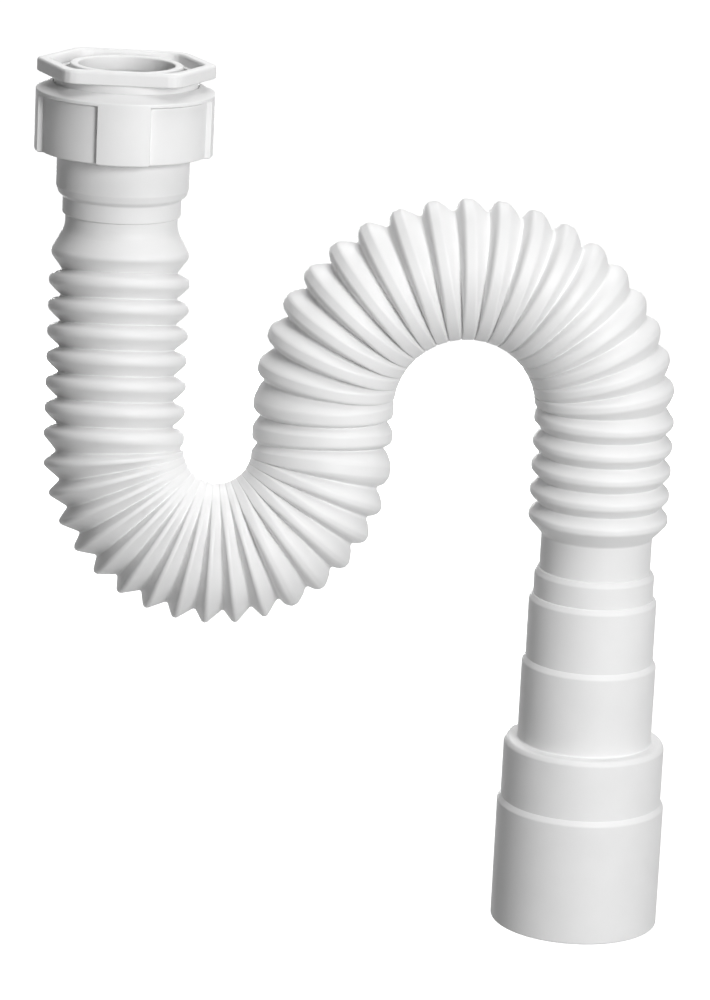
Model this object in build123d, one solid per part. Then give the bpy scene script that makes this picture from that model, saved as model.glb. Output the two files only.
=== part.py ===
from build123d import *
import math
import os

# A flexible sink trap: a blown corrugated pipe bent into an S, with a threaded inlet
# (coupling nut, reducing bush and two flat seals) and a stepped outlet tail.
# Millimetres, +Z up. The origin is the centre of the waste mouth, at the rim of the
# bush's inner tube. +X runs from the inlet to the outlet, and -Y is the front.
# Threads are plain cylinders: the male one at its crest, the female ones at their crest too.

# Reducing bush
waste_thread_d = 27.9
waste_tube_wall = 2.5
waste_thread_length = 11.0
head_overhang = 1.45
head_tip_overhang = 5.55
head_flat_share = 0.61
head_ledge = 0.1
head_thickness = 4.0
head_web = 1.0
head_rise = 0.9
head_turn = -3.0
coupling_thread_d = 41.9
shell_wall = 2.2
bush_floor = 2.6
seal_ledge = 3.4
seal_undercut = 0.4

# Coupling nut
nut_wall = 4.95
nut_height = 20.0
nut_neck_gap = 2.5
nut_shoulder_drop = 2.0
nut_shoulder_width = 4.6
nut_lip = 3.2
pad_count = 4
pad_angle = 33.5
pad_turn = -0.4
recess_depth = 1.4
recess_below_shoulder = 0.9

# Flat seals
inlet_seal_thickness = 3.0
flange_seal_thickness = 2.5

# Corrugated pipe: inlet collar
pipe_wall = 1.3
flange_thickness = 2.0
flange_width = 1.1
collar_below_nut = 10.2
shoulder_length = 3.1
cuff_step = 0.9
cuff_length = 5.1
neck_d = 32.9
inlet_neck_length = 4.2

# Corrugated pipe: bellows. The zones, from the inlet to the outlet: left run, trap bend,
# rising side of the bend, middle run, arch, falling side of the arch, right run
crest_rise = 4.15
crest_share = 0.38
bulge_up_length = 7.6
bulge_down_length = 5.2
zone_count = [7, 11, 5, 3, 12, 6, 5]
zone_pitch = [7.5, 5.4, 5.8, 8.5, 7.05, 6.5, 7.4]
zone_depth = [3.8, 4.1, 3.4, 2.7, 4.0, 2.6, 2.3]

# Corrugated pipe: the S that it is bent into
forward_lean = 10.0
left_run = 51.1
trap_bend_radius = 30.5
middle_run = 15.2
arch_radius = 41.3
bore_step_angle = 22.5

# Corrugated pipe: outlet tail, as (outside diameter, length) from the neck down
outlet_neck_length = 12.4
tail_steps = [(35.6, 8.0), (38.0, 19.5), (40.0, 25.3), (48.0, 18.4), (50.0, 38.2)]
tail_bevel = 0.9

# Clearances
thread_clearance = 0.2
nut_clearance = 0.3
flange_clearance = 0.65
seat_clearance = 0.1
seal_clearance = 0.25

# Heights down the inlet, from the head to the pipe's neck
head_top = head_rise
head_base = head_top - head_thickness
inlet_seal_top = -waste_thread_length
ledge_top = inlet_seal_top - inlet_seal_thickness
bush_base = ledge_top - bush_floor
nut_top = head_base - nut_neck_gap
nut_corner = nut_top - nut_shoulder_drop
nut_base = nut_top - nut_height
lip_top = nut_base + nut_lip
flange_base = lip_top + seat_clearance
flange_top = flange_base + flange_thickness
flange_seal_top = flange_top + flange_seal_thickness
shell_base = flange_seal_top + seat_clearance
shoulder_top = nut_base - collar_below_nut
cuff_top = shoulder_top - shoulder_length
cuff_base = cuff_top - cuff_length
neck_base = cuff_base - inlet_neck_length

# Radii that other pieces take their size from
waste_tube_r = waste_thread_d / 2 + waste_tube_wall
shell_r = coupling_thread_d / 2
shell_bore_r = shell_r - shell_wall
ledge_bore_r = waste_thread_d / 2 - seal_ledge
seal_seat_r = waste_thread_d / 2 + seal_undercut
nut_bore_r = shell_r + thread_clearance
nut_r = nut_bore_r + nut_wall
flange_r = nut_bore_r - flange_clearance
collar_r = flange_r - flange_width
collar_bore_r = collar_r - pipe_wall
neck_r = neck_d / 2
cuff_r = neck_r + cuff_step
crest_r = neck_r + crest_rise
bore_r = neck_r - pipe_wall


def revolved(points):
    """Turn a closed outline of (radius, height) points about Z."""
    outline = make_face(Polyline([(r, 0, z) for r, z in points], close=True))
    return revolve(outline, Axis.Z)


def ring(outer_r, inner_r, base, top):
    return revolved([(inner_r, base), (outer_r, base), (outer_r, top), (inner_r, top)])


def reducing_bush():
    """Long hexagon head, male shell and inner waste tube, joined by a floor and cored between."""
    tip = shell_r + head_tip_overhang
    flat = shell_r + head_overhang
    flat_half = head_flat_share * tip
    hexagon = Polygon(
        (tip, 0), (flat_half, flat), (-flat_half, flat),
        (-tip, 0), (-flat_half, -flat), (flat_half, -flat),
        align=None,
    )
    head_wall = flat - shell_bore_r - head_ledge
    opening = offset(hexagon, amount=-head_wall, kind=Kind.INTERSECTION)
    head = extrude(hexagon - Circle(shell_bore_r), head_thickness)
    head -= Pos(0, 0, head_web) * extrude(opening, head_thickness - head_web)
    head = Pos(0, 0, head_base) * Rot(0, 0, head_turn) * head
    body = revolved([
        (ledge_bore_r, bush_base),
        (waste_tube_r, bush_base),
        (waste_tube_r, shell_base),
        (shell_r, shell_base),
        (shell_r, head_base),
        (shell_bore_r, head_base),
        (shell_bore_r, shell_base + bush_floor),
        (waste_tube_r, shell_base + bush_floor),
        (waste_tube_r, 0),
        (waste_thread_d / 2, 0),
        (waste_thread_d / 2, inlet_seal_top),
        (seal_seat_r, inlet_seal_top),
        (seal_seat_r, ledge_top),
        (ledge_bore_r, ledge_top),
    ])
    return head + body


def grip_recess():
    """One shallow recess of the nut's side, open at the nut's lower edge."""
    floor_r = nut_r - recess_depth
    outer_r = nut_r + recess_depth
    sweep = 360 / pad_count - pad_angle
    with BuildSketch() as sector:
        with BuildLine():
            outer = CenterArc((0, 0), outer_r, -sweep / 2, sweep)
            inner = CenterArc((0, 0), floor_r, -sweep / 2, sweep)
            Line(outer @ 0, inner @ 0)
            Line(outer @ 1, inner @ 1)
        make_face()
    height = nut_height - nut_shoulder_drop - recess_below_shoulder
    return Pos(0, 0, nut_base) * extrude(sector.sketch, height)


def coupling_nut():
    lip_bore_r = collar_r + nut_clearance
    nut = revolved([
        (lip_bore_r, nut_base),
        (nut_r, nut_base),
        (nut_r, nut_corner),
        (nut_r - nut_shoulder_width, nut_top),
        (nut_bore_r, nut_top),
        (nut_bore_r, lip_top),
        (lip_bore_r, lip_top),
    ])
    recess = grip_recess()
    pitch = 360 / pad_count
    for index in range(pad_count):
        nut -= Rot(0, 0, pad_turn - 90 + (index + 0.5) * pitch) * recess
    return nut


class BentPath:
    """Straight runs and tangent arcs in a row, read by distance along them."""

    def __init__(self, start, heading):
        self.pieces = []
        self.length = 0.0
        self.end = start
        self.heading = heading

    def add(self, length, axis=None, angle=0.0):
        """Go on for a length, turning about an axis by an angle on the way."""
        self.pieces.append((self.length, length, self.end, self.heading, axis, angle))
        self.end, self.heading = self.step(self.pieces[-1], length)
        self.length += length

    @staticmethod
    def step(piece, distance):
        _, length, start, heading, axis, angle = piece
        if axis is None:
            return start + heading * distance, heading
        radius = length / math.radians(angle)
        turned = heading.rotate(Axis((0, 0, 0), axis), angle * distance / length)
        inward = axis.cross(heading)
        return start + inward * radius - axis.cross(turned) * radius, turned

    def section(self, distance):
        """The plane square to the path, with its X to the back on every section."""
        piece = [p for p in self.pieces if p[0] <= distance + 1e-9][-1]
        origin, heading = self.step(piece, distance - piece[0])
        back = Vector(0, 1, 0)
        x_dir = back - heading * back.dot(heading)
        return Plane(origin=origin, x_dir=x_dir, z_dir=heading)


def bellows_length():
    return sum(count * pitch for count, pitch in zip(zone_count, zone_pitch))


def s_path():
    """From the inlet neck to the outlet neck: down, round the trap, up, over, down."""
    across = Vector(1, 0, 0)
    lead_in = bulge_up_length + bulge_down_length
    trap_bend = math.pi * trap_bend_radius
    arch = math.pi * arch_radius
    right_run = bellows_length() - left_run - trap_bend - middle_run - arch
    path = BentPath(Vector(0, 0, neck_base), Vector(0, 0, -1))
    path.add(lead_in, -across, forward_lean)
    path.add(left_run)
    path.add(trap_bend, path.heading.cross(across), 180)
    path.add(middle_run, across, forward_lean)
    path.add(arch, path.heading.cross(across), 180)
    path.add(right_run)
    return path


def disc(path, distance, radius):
    return path.section(distance) * Circle(radius)


def bellows(path):
    """Ruled flanks between root and crest circles, round a plain bore."""
    lead_in = bulge_up_length + bulge_down_length
    rings = [
        disc(path, 0, neck_r),
        disc(path, bulge_up_length, crest_r),
        disc(path, lead_in, crest_r - zone_depth[0]),
    ]
    distance = lead_in
    for count, pitch, depth in zip(zone_count, zone_pitch, zone_depth):
        for _ in range(count):
            rings.append(disc(path, distance + crest_share * pitch, crest_r))
            distance += pitch
            rings.append(disc(path, distance, crest_r - depth))
    rings[-1] = disc(path, path.length, neck_r)
    stations = [0.0]
    for begin, length, _, _, axis, angle in path.pieces:
        steps = max(1, round(angle / bore_step_angle)) if axis else 1
        stations += [begin + length * (k + 1) / steps for k in range(steps)]
    bore = [disc(path, station, bore_r) for station in stations]
    return loft(rings, ruled=True) - loft(bore, ruled=True)


def inlet_collar():
    """Flange, wide collar, shoulder and cuff above the first corrugation."""
    return revolved([
        (bore_r, neck_base),
        (neck_r, neck_base),
        (neck_r, cuff_base),
        (cuff_r, cuff_base),
        (cuff_r, cuff_top),
        (collar_r - (collar_r - cuff_r) / 3, shoulder_top - shoulder_length * 2 / 3),
        (collar_r, shoulder_top),
        (collar_r, flange_base),
        (flange_r, flange_base),
        (flange_r, flange_top),
        (collar_bore_r, flange_top),
        (collar_bore_r, shoulder_top),
        (bore_r, cuff_top),
    ])


def outlet_tail():
    """Neck and stepped spigot, hanging from its top at zero."""
    outer = [(neck_r, 0)]
    inner = [(bore_r, 0)]
    height = -outlet_neck_length
    outer.append((neck_r, height))
    for diameter, length in tail_steps:
        radius = diameter / 2
        outer += [(radius - tail_bevel, height), (radius, height - tail_bevel)]
        inner += [(inner[-1][0], height - pipe_wall), (radius - pipe_wall, height - pipe_wall)]
        height -= length
        outer.append((radius, height))
    inner.append((inner[-1][0], height))
    return revolved(outer + inner[::-1])


def corrugated_pipe():
    path = s_path()
    tail = Pos(*path.end) * outlet_tail()
    return inlet_collar() + bellows(path) + tail


def flange_seal():
    return ring(flange_r, collar_bore_r, flange_top, flange_seal_top)


def inlet_seal():
    outer_r = seal_seat_r - seal_clearance
    return ring(outer_r, ledge_bore_r, ledge_top, inlet_seal_top)


nodes = {
    "corrugated_pipe": corrugated_pipe(),
    "coupling_nut": coupling_nut(),
    "reducing_bush": reducing_bush(),
    "flange_seal": flange_seal(),
    "inlet_seal": inlet_seal(),
}
os.makedirs("parts", exist_ok=True)
for name, solid in nodes.items():
    export_step(solid, f"parts/{name}.step")
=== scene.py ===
import math

import bpy
from mathutils import Matrix, Quaternion, Vector


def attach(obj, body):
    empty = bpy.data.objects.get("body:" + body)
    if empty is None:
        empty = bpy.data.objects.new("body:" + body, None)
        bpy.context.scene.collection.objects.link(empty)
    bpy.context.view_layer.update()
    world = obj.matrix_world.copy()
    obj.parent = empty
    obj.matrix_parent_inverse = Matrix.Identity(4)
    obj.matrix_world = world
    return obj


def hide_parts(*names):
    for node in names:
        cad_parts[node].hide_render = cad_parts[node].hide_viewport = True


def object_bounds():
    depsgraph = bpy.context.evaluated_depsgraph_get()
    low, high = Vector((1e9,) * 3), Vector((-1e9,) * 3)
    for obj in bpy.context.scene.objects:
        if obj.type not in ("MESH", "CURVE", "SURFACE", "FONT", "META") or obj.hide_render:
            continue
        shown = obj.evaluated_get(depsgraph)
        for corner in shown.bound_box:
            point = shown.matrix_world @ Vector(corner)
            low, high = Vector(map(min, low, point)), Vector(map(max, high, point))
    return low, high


# A flexible white sink trap: a blown corrugated pipe bent into an S, with a threaded inlet
# (coupling nut, reducing bush and two flat seals) and a stepped outlet tail.
# Metres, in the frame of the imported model: the origin is the centre of the waste mouth.

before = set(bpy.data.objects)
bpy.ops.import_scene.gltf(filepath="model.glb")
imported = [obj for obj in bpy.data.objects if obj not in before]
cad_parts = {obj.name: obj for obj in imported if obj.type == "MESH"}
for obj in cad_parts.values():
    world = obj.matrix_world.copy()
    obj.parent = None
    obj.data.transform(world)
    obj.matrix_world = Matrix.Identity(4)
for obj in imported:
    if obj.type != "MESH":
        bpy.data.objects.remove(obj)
cad_low, cad_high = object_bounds()

# Reducing bush
waste_thread_d = 0.0279
waste_tube_wall = 0.0025
waste_thread_length = 0.011
head_overhang = 0.00145
head_tip_overhang = 0.00555
head_flat_share = 0.61
head_ledge = 0.0001
head_thickness = 0.004
head_web = 0.001
head_rise = 0.0009
head_turn = math.radians(-3.0)
head_corner_round = 0.005
head_edge_round = 0.0009
coupling_thread_d = 0.0419
shell_wall = 0.0022
bush_floor = 0.0026
seal_ledge = 0.0034
seal_undercut = 0.0004

# Coupling nut
nut_wall = 0.00495
nut_height = 0.020
nut_neck_gap = 0.0025
nut_shoulder_drop = 0.002
nut_shoulder_width = 0.0046
nut_lip = 0.0032
pad_count = 4
pad_angle = math.radians(33.5)
pad_turn = math.radians(-0.4)
recess_depth = 0.0014
recess_below_shoulder = 0.0009
recess_edge = 0.0006

# Threads: the depth is cut away from the plain cylinders of the solids
thread_pitch = 0.002309
thread_depth = 0.0011
thread_relief = 0.0008
waste_thread_pitch = 0.0018
waste_thread_depth = 0.0008
waste_lead_in = 0.004
thread_fade_turns = 0.6
rows_per_pitch = 10

# Flat seals
inlet_seal_thickness = 0.003
flange_seal_thickness = 0.0025
seal_round = 0.0004

# Corrugated pipe: inlet collar
pipe_wall = 0.0013
flange_thickness = 0.002
flange_width = 0.0011
collar_below_nut = 0.0102
shoulder_length = 0.0031
shoulder_bend_along = 2 / 3
shoulder_bend_drop = 1 / 3
cuff_step = 0.0009
cuff_length = 0.0051
neck_d = 0.0329
inlet_neck_length = 0.0042

# Corrugated pipe: bellows, as (corrugations, pitch, depth, how far along it the crest lies,
# width of the flat crest, its rounding, share of their run by which its flanks swell).
# The zones: left run, trap bend, its rising side, middle run, arch, its falling side, right run
crest_rise = 0.00415
bulge_up_length = 0.0076
bulge_down_length = 0.0052
bellows_zones = [
    (7, 0.0075, 0.0038, 0.38, 0.0022, 0.0018, 0.05),
    (11, 0.0054, 0.0041, 0.38, 0.0012, 0.0008, 0.0),
    (5, 0.0058, 0.0034, 0.38, 0.0024, 0.0014, 0.08),
    (3, 0.0085, 0.0027, 0.38, 0.0034, 0.0020, 0.10),
    (12, 0.00705, 0.0040, 0.38, 0.0034, 0.0012, 0.05),
    (6, 0.0065, 0.0026, 0.42, 0.0024, 0.0014, 0.06),
    (5, 0.0074, 0.0027, 0.50, 0.0018, 0.0014, 0.04),
]
root_round = 0.0003
last_flank = 0.0018

# Corrugated pipe: folds pressed together inside a bend. A crest fills at most this share of its room,
# and the least depth that is left comes at this stretch
crest_fill = 0.9
pressed_depth = 0.03
pressed_stretch = 0.42
bend_blend = 0.006
bend_samples = (-1, -0.5, 0, 0.5, 1)

# Corrugated pipe: the S that it is bent into
forward_lean = math.radians(10.0)
left_run = 0.0511
trap_bend_radius = 0.0305
middle_run = 0.0152
arch_radius = 0.0413

# Corrugated pipe: outlet tail, as (outside diameter, length) from the neck down
outlet_neck_length = 0.0124
tail_steps = [(0.0356, 0.008), (0.038, 0.0195), (0.040, 0.0253), (0.048, 0.0184), (0.050, 0.0382)]
tail_bevel = 0.0009
tail_bevel_length = 0.0014
tail_round = 0.0012

# Clearances
thread_clearance = 0.0002
nut_clearance = 0.0003
flange_clearance = 0.00065
seat_clearance = 0.0001
seal_clearance = 0.00025

# Roundings of edges and corners
moulded_edge = 0.0005
edge_middle_share = 0.3
fine_round = 0.0003
rim_round = 0.0004
step_round = 0.0005
bore_round = 0.002
shoulder_round = 0.0012
shoulder_bend_round = 0.0016
cuff_top_round = 0.0008
inlet_neck_round = 0.006
bulge_round = 0.0024
outlet_neck_round = 0.0012
nut_shoulder_round = 0.0006
groove_round = 0.0006
undercut_round = 0.0001
seal_seat_round = 0.0002

# Fineness of the meshes
pipe_segments = 96
pipe_row_step = 0.004
round_steps = 3
most_of_side = 0.49
same_place = 1e-9
sharp_angle = math.radians(55.0)
turn_step = math.radians(3.0)
fine_turn = turn_step / 3
corner_columns = 6
nut_side_shares = (0.35, 0.7)

# Heights down the inlet, from the head to the pipe's neck
head_top = head_rise
head_base = head_top - head_thickness
inlet_seal_top = -waste_thread_length
ledge_top = inlet_seal_top - inlet_seal_thickness
bush_base = ledge_top - bush_floor
nut_top = head_base - nut_neck_gap
nut_corner = nut_top - nut_shoulder_drop
nut_base = nut_top - nut_height
lip_top = nut_base + nut_lip
flange_base = lip_top + seat_clearance
flange_top = flange_base + flange_thickness
flange_seal_top = flange_top + flange_seal_thickness
shell_base = flange_seal_top + seat_clearance
shoulder_top = nut_base - collar_below_nut
cuff_top = shoulder_top - shoulder_length
cuff_base = cuff_top - cuff_length
neck_base = cuff_base - inlet_neck_length

# Radii that several pieces share
waste_bore_r = waste_thread_d / 2
waste_tube_r = waste_bore_r + waste_tube_wall
shell_r = coupling_thread_d / 2
shell_bore_r = shell_r - shell_wall
ledge_bore_r = waste_bore_r - seal_ledge
seal_seat_r = waste_bore_r + seal_undercut
nut_bore_r = shell_r + thread_clearance
nut_r = nut_bore_r + nut_wall
flange_r = nut_bore_r - flange_clearance
collar_r = flange_r - flange_width
collar_bore_r = collar_r - pipe_wall
neck_r = neck_d / 2
cuff_r = neck_r + cuff_step
crest_r = neck_r + crest_rise
bore_r = neck_r - pipe_wall


class BentPath:
    """Straight runs and tangent arcs in a row, read by distance along them."""

    def __init__(self, start, heading):
        self.pieces = []
        self.length = 0.0
        self.end = start
        self.heading = heading

    def add(self, length, axis=None, angle=0.0):
        """Go on for a length, turning about an axis by an angle on the way."""
        self.pieces.append((self.length, length, self.end, self.heading, axis, angle))
        self.end, self.heading = self.step(self.pieces[-1], length)
        self.length += length

    @staticmethod
    def step(piece, distance):
        _, length, start, heading, axis, angle = piece
        if axis is None:
            return start + heading * distance, heading
        radius = length / angle
        turned = Quaternion(axis, angle * distance / length) @ heading
        centre = start + axis.cross(heading) * radius
        return centre - axis.cross(turned) * radius, turned

    def piece_at(self, distance):
        return [piece for piece in self.pieces if piece[0] <= distance + same_place][-1]

    def section(self, distance):
        """Centre of the section there, with its direction to the back and the one beside it."""
        piece = self.piece_at(distance)
        origin, heading = self.step(piece, distance - piece[0])
        back = Vector((0, 1, 0))
        back = (back - heading * back.dot(heading)).normalized()
        return origin, back, heading.cross(back)

    def bend(self, distance):
        """Towards the inside of the bend there, as long as one over its radius."""
        piece = self.piece_at(distance)
        _, length, _, _, axis, angle = piece
        if axis is None:
            return Vector((0, 0, 0))
        heading = self.step(piece, distance - piece[0])[1]
        return axis.cross(heading) * (angle / length)

    def mean_bend(self, distance, reach):
        """The bend averaged over a stretch of the path, so that it comes and goes gently."""
        samples = [self.bend(distance + reach * share) for share in bend_samples]
        return sum(samples, Vector((0, 0, 0))) / len(samples)


def pipe_path():
    """From the flange to the outlet's rim: down, round the trap, up, over and down."""
    across = Vector((1, 0, 0))
    bellows_length = sum(zone[0] * zone[1] for zone in bellows_zones)
    trap_bend = math.pi * trap_bend_radius
    arch = math.pi * arch_radius
    right_run = bellows_length - left_run - trap_bend - middle_run - arch
    path = BentPath(Vector((0, 0, flange_top)), Vector((0, 0, -1)))
    path.add(flange_top - neck_base)
    path.add(bulge_up_length + bulge_down_length, -across, forward_lean)
    path.add(left_run)
    path.add(trap_bend, path.heading.cross(across), math.pi)
    path.add(middle_run, across, forward_lean)
    path.add(arch, path.heading.cross(across), math.pi)
    path.add(right_run)
    path.add(outlet_neck_length + sum(length for _, length in tail_steps))
    return path


def rounded(corners, closed=False):
    """Points of an outline whose corners, given as (x, y, rounding), become arcs."""
    points = []
    last = len(corners) - 1
    for index, (x, y, rounding) in enumerate(corners):
        here = Vector((x, y))
        if rounding == 0 or (not closed and index in (0, last)):
            points.append(here)
            continue
        before = Vector(corners[index - 1][:2]) - here
        after = Vector(corners[(index + 1) % len(corners)][:2]) - here
        half = before.angle(after) / 2
        most = most_of_side * min(before.length, after.length)
        reach = min(rounding / math.tan(half), most)
        radius = reach * math.tan(half)
        inward = (before.normalized() + after.normalized()).normalized()
        centre = here + inward * (radius / math.sin(half))
        start = here + before.normalized() * reach - centre
        end = here + after.normalized() * reach - centre
        sweep = math.pi - 2 * half
        for step in range(round_steps + 1):
            share = step / round_steps
            spoke = start * math.sin((1 - share) * sweep) + end * math.sin(share * sweep)
            points.append(centre + spoke / math.sin(sweep))
    return points


def filled(points, step):
    """The same outline with points added where it runs on for more than a step."""
    result = []
    for index, here in enumerate(points):
        after = points[(index + 1) % len(points)]
        parts = max(1, math.ceil(abs(after.x - here.x) / step))
        result += [here.lerp(after, part / parts) for part in range(parts)]
    return result


def ring_faces(rows, columns):
    """Quads of a grid that closes on itself both ways."""
    faces = []
    for row in range(rows):
        following = (row + 1) % rows
        for column in range(columns):
            beside = (column + 1) % columns
            faces.append((
                row * columns + column,
                row * columns + beside,
                following * columns + beside,
                following * columns + column,
            ))
    return faces


def smooth_object(name, vertices, faces):
    mesh = bpy.data.meshes.new(name)
    mesh.from_pydata(vertices, [], faces)
    mesh.validate()
    mesh.shade_smooth()
    mesh.set_sharp_from_angle(angle=sharp_angle)
    piece = bpy.data.objects.new(name, mesh)
    bpy.context.collection.objects.link(piece)
    weights = piece.modifiers.new("Weighted normals", "WEIGHTED_NORMAL")
    weights.keep_sharp = True
    return piece


def lathe(name, rows, angles):
    """A ring about Z. Each row is a function that gives (radius, height) at an angle."""
    vertices = []
    for row in rows:
        for angle in angles:
            radius, height = row(angle)
            vertices.append((radius * math.cos(angle), radius * math.sin(angle), height))
    return smooth_object(name, vertices, ring_faces(len(rows), len(angles)))


def plain_row(radius, height):
    return lambda angle: (radius, height)


def turn_angles(special, clear):
    """Angles round the circle, with the special ones in place of those close to them."""
    count = round(2 * math.pi / turn_step)
    angles = [index * turn_step for index in range(count)]
    kept = [a for a in angles if all(turn_gap(a, s) > clear for s in special)]
    kept += [angle % (2 * math.pi) for angle in special]
    return sorted(kept)


def turn_gap(first, second):
    """The angle between two directions."""
    return abs((first - second + math.pi) % (2 * math.pi) - math.pi)


def smooth_step(value):
    value = min(max(value, 0.0), 1.0)
    return value * value * (3 - 2 * value)


def thread_rows(radius, depth, pitch, start, end):
    """Rows of a rounded thread from one height to another, fading out at both ends."""
    count = round(abs(end - start) / pitch * rows_per_pitch)

    def row_at(height):
        lead = min(abs(height - start), abs(height - end)) / pitch
        cut = depth * smooth_step(lead / thread_fade_turns)

        def row(angle):
            turn = height / pitch - angle / (2 * math.pi)
            return radius + cut * (0.5 - 0.5 * math.cos(2 * math.pi * turn)), height

        return row

    return [row_at(start + (end - start) * index / count) for index in range(count + 1)]


def down(height):
    """Distance along the pipe's path, from its rim, of a height in its upright inlet."""
    return flange_top - height


def inlet_outside():
    """The outside from the rim to the first root, as (distance along the path, radius, rounding)."""
    bend_along = down(shoulder_top) + shoulder_length * shoulder_bend_along
    bend_r = collar_r - (collar_r - cuff_r) * shoulder_bend_drop
    bulge_crest = down(neck_base) + bulge_up_length
    first_depth = bellows_zones[0][2]
    return [
        (0, collar_bore_r, fine_round),
        (0, flange_r, rim_round),
        (flange_thickness, flange_r, rim_round),
        (flange_thickness, collar_r, rim_round),
        (down(shoulder_top), collar_r, shoulder_round),
        (bend_along, bend_r, shoulder_bend_round),
        (down(cuff_top), cuff_r, cuff_top_round),
        (down(cuff_base), cuff_r, rim_round),
        (down(cuff_base), neck_r, fine_round),
        (down(neck_base), neck_r, inlet_neck_round),
        (bulge_crest, crest_r, bulge_round),
        (bulge_crest + bulge_down_length, crest_r - first_depth, root_round),
    ]


def bellows_outside():
    """The outside of the corrugations after the first root, ending on the outlet neck."""
    along = down(neck_base) + bulge_up_length + bulge_down_length
    outer = []
    for count, pitch, depth, crest_share, land, rounding, bulge in bellows_zones:
        half_way_r = crest_r - depth / 2
        for _ in range(count):
            crest_start = along + crest_share * pitch - land / 2
            crest_end = crest_start + land
            rise = crest_start - along
            along += pitch
            fall = along - crest_end
            if bulge > 0:
                outer.append((crest_start - rise * (0.5 + bulge), half_way_r, 0))
            outer.append((crest_start, crest_r, rounding))
            outer.append((crest_end, crest_r, rounding))
            if bulge > 0:
                outer.append((crest_end + fall * (0.5 + bulge), half_way_r, 0))
            outer.append((along, crest_r - depth, root_round))
    outer[-1] = (along + last_flank, neck_r, outlet_neck_round)
    return outer, along


def pipe_outline():
    """The pipe's closed section, as distance along its path and radius."""
    outer = inlet_outside()
    folds, along = bellows_outside()
    outer += folds
    along += outlet_neck_length
    outer.append((along, neck_r, step_round))
    inner = [(along, bore_r, rim_round)]
    for diameter, length in tail_steps:
        radius = diameter / 2
        outer.append((along, radius - tail_bevel, tail_round))
        outer.append((along + tail_bevel_length, radius, tail_round))
        inner.append((along + pipe_wall, inner[-1][1], step_round))
        inner.append((along + pipe_wall, radius - pipe_wall, step_round))
        along += length
        outer.append((along, radius, step_round))
        inner.append((along, radius - pipe_wall, step_round))
    inner = inner[:-1]
    outer.append((along, inner[-1][1], rim_round))
    inlet_bore = [
        (down(neck_base), bore_r, bore_round),
        (down(cuff_top), bore_r, bore_round),
        (down(shoulder_top), collar_bore_r, bore_round),
    ]
    return filled(rounded(outer + inner[::-1] + inlet_bore, closed=True), pipe_row_step)


def crests():
    """Each crest along the path: the root before it, its middle, the root after it and its width."""
    along = down(neck_base) + bulge_up_length + bulge_down_length
    places = []
    for count, pitch, _, crest_share, land, _, _ in bellows_zones:
        for _ in range(count):
            places.append((along, along + crest_share * pitch, along + pitch, land))
            along += pitch
    return places


def widened(along, crest, stretch):
    """Move a point of a corrugation along the path, so that the crest keeps its width in a bend."""
    before, middle, after, land = crest
    offset = along - middle
    room = after - middle if offset > 0 else middle - before
    half = min(land / 2 / stretch, crest_fill * room)
    flat = land / 2
    if abs(offset) <= flat:
        moved = abs(offset) * half / flat
    else:
        moved = half + (abs(offset) - flat) * (room - half) / (room - flat)
    return middle + math.copysign(moved, offset)


def pressed(stretch):
    """How much of the depth is left where a bend presses the corrugations together."""
    share = smooth_step((stretch - pressed_stretch) / (1 - pressed_stretch))
    return pressed_depth + (1 - pressed_depth) * share


def make_pipe():
    path = pipe_path()
    outline = pipe_outline()
    places = crests()
    turns = [2 * math.pi * index / pipe_segments for index in range(pipe_segments)]
    vertices = []
    for along, radius in outline:
        origin, back, side = path.section(along)
        spokes = [back * math.cos(turn) + side * math.sin(turn) for turn in turns]
        around = [crest for crest in places if crest[0] < along < crest[2]]
        if not around or radius < bore_r + pipe_wall / 2:
            vertices += [origin + spoke * radius for spoke in spokes]
            continue
        bend = path.mean_bend(along, bend_blend)
        for turn, spoke in zip(turns, spokes):
            stretch = 1 - crest_r * spoke.dot(bend)
            origin, back, side = path.section(widened(along, around[0], stretch))
            reached = crest_r - (crest_r - radius) * pressed(stretch)
            vertices.append(origin + (back * math.cos(turn) + side * math.sin(turn)) * reached)
    return smooth_object("pipe_skin", vertices, ring_faces(len(outline), pipe_segments))


def recess_share(angle):
    """0 on the nut's grip pads and 1 in the recesses between them."""
    spacing = 2 * math.pi / pad_count
    centre = pad_turn - math.pi / 2
    off_centre = abs((angle - centre + spacing / 2) % spacing - spacing / 2)
    past_edge = (off_centre - pad_angle / 2) * nut_r
    return min(max(past_edge / recess_edge, 0.0), 1.0)


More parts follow.
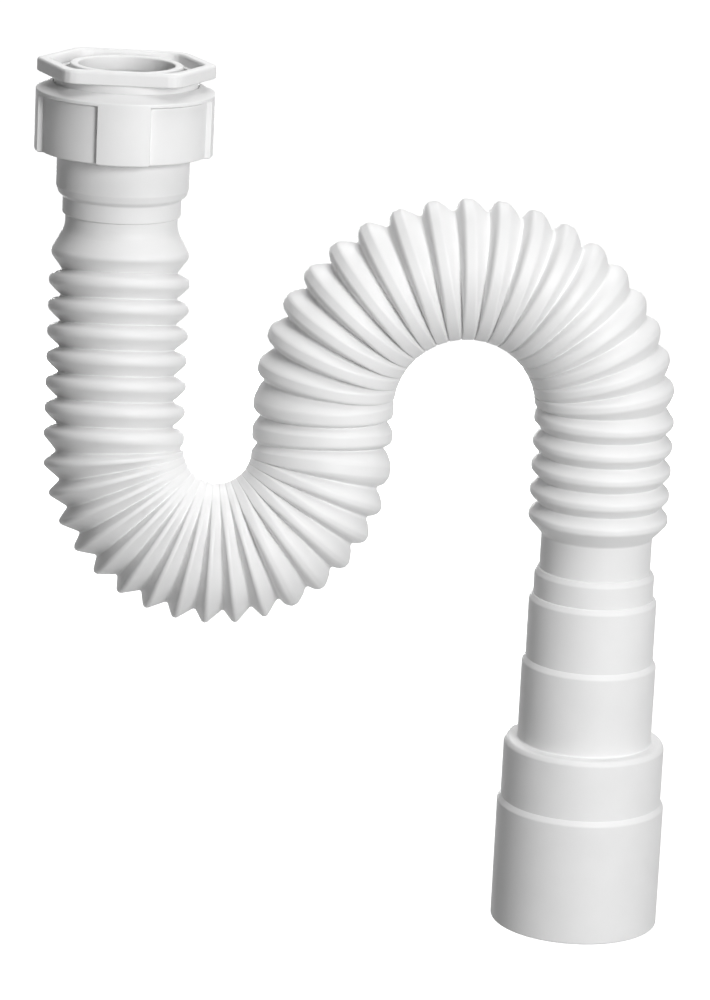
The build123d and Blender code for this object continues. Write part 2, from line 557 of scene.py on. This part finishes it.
def make_nut():
    lip_bore_r = collar_r + nut_clearance
    recess_top = nut_corner - recess_below_shoulder

    def side_row(height, inset=0.0):
        below = min((recess_top - height) / recess_edge, 1.0)

        def row(angle):
            return nut_r - inset - recess_depth * below * recess_share(angle), height

        return row

    edge = moulded_edge
    edge_middle = edge * edge_middle_share
    recess_foot = recess_top - recess_edge
    rows = [plain_row(lip_bore_r + edge, nut_base)]
    rows.append(side_row(nut_base, edge))
    rows.append(side_row(nut_base + edge_middle, edge_middle))
    rows.append(side_row(nut_base + edge))
    side_heights = [nut_base + (recess_foot - nut_base) * share for share in nut_side_shares]
    side_heights += [recess_foot, recess_top]
    rows += [side_row(height) for height in side_heights]
    shoulder = rounded([
        (nut_r, recess_top, 0),
        (nut_r, nut_corner, rim_round),
        (nut_r - nut_shoulder_width, nut_top, nut_shoulder_round),
        (nut_bore_r, nut_top, fine_round),
        (nut_bore_r, nut_top - edge * 2, 0),
    ])
    rows += [plain_row(point.x, point.y) for point in shoulder[1:]]
    rows += thread_rows(nut_bore_r, thread_depth, thread_pitch, nut_top - edge * 2, lip_top + edge * 2)
    rows += [plain_row(nut_bore_r, lip_top), plain_row(lip_bore_r + edge, lip_top)]
    rows += [plain_row(lip_bore_r, lip_top - edge), plain_row(lip_bore_r, nut_base + edge)]
    spacing = 2 * math.pi / pad_count
    first = pad_turn - math.pi / 2
    half = pad_angle / 2
    foot = half + recess_edge / nut_r
    centres = [first + index * spacing for index in range(pad_count)]
    edges = [centre + edge_turn for centre in centres for edge_turn in (-foot, -half, half, foot)]
    return lathe("nut_skin", rows, turn_angles(edges, fine_turn))


def head_outline(inset):
    """The head's long hexagon, moved in by an inset, with rounded corners."""
    tip = shell_r + head_tip_overhang
    flat = shell_r + head_overhang
    lean = tip * (1 - head_flat_share) / flat
    tip -= inset * math.hypot(1, lean)
    flat -= inset
    corner = tip - flat * lean
    corners = [(tip, 0), (corner, flat), (-corner, flat), (-tip, 0), (-corner, -flat), (corner, -flat)]
    return rounded([(x, y, head_corner_round) for x, y in corners], closed=True)


def reach(outline, angle):
    """Distance from the axis to an outline round it, in one direction."""
    spoke = Vector((math.cos(angle), math.sin(angle)))
    for index, here in enumerate(outline):
        before = outline[index - 1]
        if before.cross(spoke) >= 0 and spoke.cross(here) >= 0:
            side = here - before
            return before.cross(side) / spoke.cross(side)


def make_bush():
    edge = moulded_edge
    wall = head_overhang + shell_wall - head_ledge

    def head_row(inset, height):
        outline = head_outline(inset)
        return lambda angle: (reach(outline, angle - head_turn), height)

    head = rounded([
        (head_overhang, head_base, 0),
        (0, head_base, edge),
        (0, head_top, head_edge_round),
        (wall, head_top, head_edge_round),
        (wall, head_base + head_web, 0),
    ])
    rows = [head_row(point.x, point.y) for point in head[1:]]
    inside = rounded([
        (shell_bore_r, head_base + head_web, 0),
        (shell_bore_r, shell_base + bush_floor, groove_round),
        (waste_tube_r, shell_base + bush_floor, groove_round),
        (waste_tube_r, 0, edge),
        (waste_bore_r, 0, edge),
        (waste_bore_r, -waste_lead_in, 0),
    ])
    rows += [plain_row(point.x, point.y) for point in inside]
    rows += thread_rows(
        waste_bore_r, waste_thread_depth, waste_thread_pitch, -waste_lead_in, inlet_seal_top + edge * 2
    )
    thread_start = shell_base + edge * 2
    below = rounded([
        (waste_bore_r, inlet_seal_top, 0),
        (seal_seat_r, inlet_seal_top, undercut_round),
        (seal_seat_r, ledge_top, seal_seat_round),
        (ledge_bore_r, ledge_top, fine_round),
        (ledge_bore_r, bush_base, fine_round),
        (waste_tube_r, bush_base, rim_round),
        (waste_tube_r, shell_base, fine_round),
        (shell_r, shell_base, fine_round),
        (shell_r, thread_start, 0),
    ])
    rows += [plain_row(point.x, point.y) for point in below]
    rows += thread_rows(shell_r, -thread_depth, thread_pitch, thread_start, nut_top - thread_relief)
    rows.append(plain_row(shell_r, head_base))
    side = math.atan2(shell_r + head_overhang, head_flat_share * (shell_r + head_tip_overhang))
    corners = [head_turn + turn for turn in (0, side, math.pi - side, math.pi, math.pi + side, -side)]
    steps = range(-corner_columns, corner_columns + 1)
    around = [corner + fine_turn * step for corner in corners for step in steps]
    return lathe("bush_skin", rows, turn_angles(around, fine_turn))


def make_seal(name, outer_r, inner_r, base, top):
    corners = [
        (inner_r, base, seal_round),
        (outer_r, base, seal_round),
        (outer_r, top, seal_round),
        (inner_r, top, seal_round),
    ]
    rows = [plain_row(point.x, point.y) for point in rounded(corners, closed=True)]
    return lathe(name, rows, turn_angles([], turn_step))


# Surfaces: mottling, uneven gloss and the fine skin of a moulding
specular_level = 0.3
mottle_scale = 70
mottle_detail = 3
mottle_range = (0.3, 0.7)
gloss_scale = 160
gloss_detail = 4
gloss_spread = 0.05
grain_detail = 2
grain_strength = 0.25


def noise(nodes, links, coordinates, scale, detail):
    texture = nodes.new("ShaderNodeTexNoise")
    texture.inputs["Scale"].default_value = scale
    texture.inputs["Detail"].default_value = detail
    links.new(coordinates.outputs["Object"], texture.inputs["Vector"])
    return texture


def ramp(nodes, links, source, low, high):
    """A colour ramp between two greys, over the middle of a noise texture's range."""
    node = nodes.new("ShaderNodeValToRGB")
    node.color_ramp.elements[0].position = mottle_range[0]
    node.color_ramp.elements[0].color = (*low, 1)
    node.color_ramp.elements[1].position = mottle_range[1]
    node.color_ramp.elements[1].color = (*high, 1)
    links.new(source.outputs["Fac"], node.inputs["Fac"])
    return node


def moulded(name, low, high, roughness, grain, grain_depth):
    """Moulded plastic or rubber: faint mottling, uneven gloss and a fine skin."""
    material = bpy.data.materials.new(name)
    material.use_nodes = True
    nodes = material.node_tree.nodes
    links = material.node_tree.links
    shader = nodes["Principled BSDF"]
    shader.inputs["Specular IOR Level"].default_value = specular_level
    coordinates = nodes.new("ShaderNodeTexCoord")
    mottle = noise(nodes, links, coordinates, mottle_scale, mottle_detail)
    colour = ramp(nodes, links, mottle, low, high)
    links.new(colour.outputs["Color"], shader.inputs["Base Color"])
    gloss = noise(nodes, links, coordinates, gloss_scale, gloss_detail)
    shine = nodes.new("ShaderNodeMapRange")
    shine.inputs["To Min"].default_value = roughness - gloss_spread
    shine.inputs["To Max"].default_value = roughness + gloss_spread
    links.new(gloss.outputs["Fac"], shine.inputs["Value"])
    links.new(shine.outputs["Result"], shader.inputs["Roughness"])
    skin = noise(nodes, links, coordinates, grain, grain_detail)
    bump = nodes.new("ShaderNodeBump")
    bump.inputs["Strength"].default_value = grain_strength
    bump.inputs["Distance"].default_value = grain_depth
    links.new(skin.outputs["Fac"], bump.inputs["Height"])
    links.new(bump.outputs["Normal"], shader.inputs["Normal"])
    return material


def dress(piece, node, body, material):
    piece.data.materials.append(material)
    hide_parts(node)
    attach(piece, body)


pipe_white = moulded("pipe_white", (0.80, 0.80, 0.80), (0.83, 0.83, 0.83), 0.48, 900, 0.00006)
fitting_white = moulded("fitting_white", (0.81, 0.81, 0.81), (0.84, 0.84, 0.84), 0.42, 1100, 0.00004)
seal_black = moulded("seal_black", (0.03, 0.03, 0.03), (0.05, 0.05, 0.05), 0.65, 1500, 0.00008)

dress(make_pipe(), "corrugated_pipe", "trap", pipe_white)
dress(make_nut(), "coupling_nut", "nut", fitting_white)
dress(make_bush(), "reducing_bush", "bush", fitting_white)
flange_seal = make_seal("flange_seal_skin", flange_r, collar_bore_r, flange_top, flange_seal_top)
dress(flange_seal, "flange_seal", "trap", seal_black)
inlet_seal = make_seal(
    "inlet_seal_skin", seal_seat_r - seal_clearance, ledge_bore_r, ledge_top, inlet_seal_top
)
dress(inlet_seal, "inlet_seal", "bush", seal_black)

# Camera, at the photograph's viewing angle
image_height = 1000
focal_pixels = 4500
camera_distance = 1.3352
camera_target = Vector((0.0720, 0.0, -0.1277))
camera_pitch = math.radians(14.5)
camera_roll = math.radians(2.79)
camera_yaw = math.radians(2.96)

# Lamps, as (name, place, width, height, power), and the light from all round
lamps = [
    ("key", Vector((0.56, -1.10, 0.29)), 0.4, 0.5, 12.4),
    ("top", Vector((0.12, -0.35, 0.88)), 0.6, 0.6, 3.7),
    ("back", Vector((0.06, 0.80, 0.72)), 0.6, 0.6, 5.0),
    ("behind", Vector((0.10, 1.90, -0.30)), 0.8, 0.35, 14.0),
]
world_level = 0.06

# Floor, and its glow from near the object to far off
floor_drop = 0.25
floor_size = 12.0
floor_grey = 0.45
floor_roughness = 0.9
glow_distances = (0.5, 1.6)
glow_strengths = (0.86, 1.0)


def make_camera():
    data = bpy.data.cameras.new("camera")
    data.sensor_fit = "VERTICAL"
    data.lens = focal_pixels / image_height * data.sensor_height
    camera = bpy.data.objects.new("camera", data)
    bpy.context.collection.objects.link(camera)
    flat = math.cos(camera_pitch)
    forward = Vector((
        math.sin(camera_yaw) * flat,
        math.cos(camera_yaw) * flat,
        -math.sin(camera_pitch),
    ))
    level = Vector((math.cos(camera_yaw), -math.sin(camera_yaw), 0))
    upright = level.cross(forward)
    right = level * math.cos(camera_roll) + upright * math.sin(camera_roll)
    up = upright * math.cos(camera_roll) - level * math.sin(camera_roll)
    turn = Matrix((right, up, -forward)).transposed().to_4x4()
    place = camera_target - forward * camera_distance
    camera.matrix_world = Matrix.Translation(place) @ turn
    bpy.context.scene.camera = camera


def make_lamp(name, place, width, height, power):
    """A soft lamp that points at the middle of the object."""
    data = bpy.data.lights.new(name, "AREA")
    data.shape = "RECTANGLE"
    data.size = width
    data.size_y = height
    data.energy = power
    lamp = bpy.data.objects.new(name, data)
    bpy.context.collection.objects.link(lamp)
    lamp.location = place
    aim = camera_target - lamp.location
    lamp.rotation_euler = aim.to_track_quat("-Z", "Y").to_euler()


def seen_directly(nodes, links):
    """1 for what the camera, a reflection or a clear material sees, and 0 for light on surfaces."""
    path = nodes.new("ShaderNodeLightPath")
    total = path.outputs["Is Camera Ray"]
    for name in ("Is Glossy Ray", "Is Transmission Ray"):
        most = nodes.new("ShaderNodeMath")
        most.operation = "MAXIMUM"
        links.new(total, most.inputs[0])
        links.new(path.outputs[name], most.inputs[1])
        total = most.outputs[0]
    return total


def make_world():
    """White where it is looked at, and a dimmer even light on the object."""
    world = bpy.data.worlds.new("studio")
    bpy.context.scene.world = world
    world.use_nodes = True
    nodes = world.node_tree.nodes
    links = world.node_tree.links
    strength = nodes.new("ShaderNodeMapRange")
    strength.inputs["To Min"].default_value = world_level
    strength.inputs["To Max"].default_value = 1.0
    links.new(seen_directly(nodes, links), strength.inputs["Value"])
    nodes["Background"].inputs["Color"].default_value = (1, 1, 1, 1)
    links.new(strength.outputs["Result"], nodes["Background"].inputs["Strength"])


def make_floor():
    """A pale floor well below the hanging trap. It keeps the shadow and turns white far off."""
    height = cad_low.z - floor_drop
    half = floor_size / 2
    sides = [(-half, -half), (half, -half), (half, half), (-half, half)]
    corners = [(x, y, height) for x, y in sides]
    mesh = bpy.data.meshes.new("floor")
    mesh.from_pydata(corners, [], [(0, 1, 2, 3)])
    floor = bpy.data.objects.new("floor", mesh)
    bpy.context.collection.objects.link(floor)
    material = bpy.data.materials.new("pale_floor")
    material.use_nodes = True
    nodes = material.node_tree.nodes
    links = material.node_tree.links
    shader = nodes["Principled BSDF"]
    shader.inputs["Base Color"].default_value = (floor_grey, floor_grey, floor_grey, 1)
    shader.inputs["Roughness"].default_value = floor_roughness
    shader.inputs["Emission Color"].default_value = (1, 1, 1, 1)
    place = nodes.new("ShaderNodeNewGeometry")
    away = nodes.new("ShaderNodeVectorMath")
    away.operation = "LENGTH"
    links.new(place.outputs["Position"], away.inputs[0])
    glow = nodes.new("ShaderNodeMapRange")
    glow.inputs["From Min"].default_value = glow_distances[0]
    glow.inputs["From Max"].default_value = glow_distances[1]
    glow.inputs["To Min"].default_value = glow_strengths[0]
    glow.inputs["To Max"].default_value = glow_strengths[1]
    links.new(away.outputs["Value"], glow.inputs["Value"])
    seen = nodes.new("ShaderNodeMath")
    seen.operation = "MULTIPLY"
    links.new(glow.outputs["Result"], seen.inputs[0])
    links.new(seen_directly(nodes, links), seen.inputs[1])
    links.new(seen.outputs[0], shader.inputs["Emission Strength"])
    floor.data.materials.append(material)


make_camera()
for lamp in lamps:
    make_lamp(*lamp)
make_world()
make_floor()
bpy.context.scene.view_settings.view_transform = "Standard"
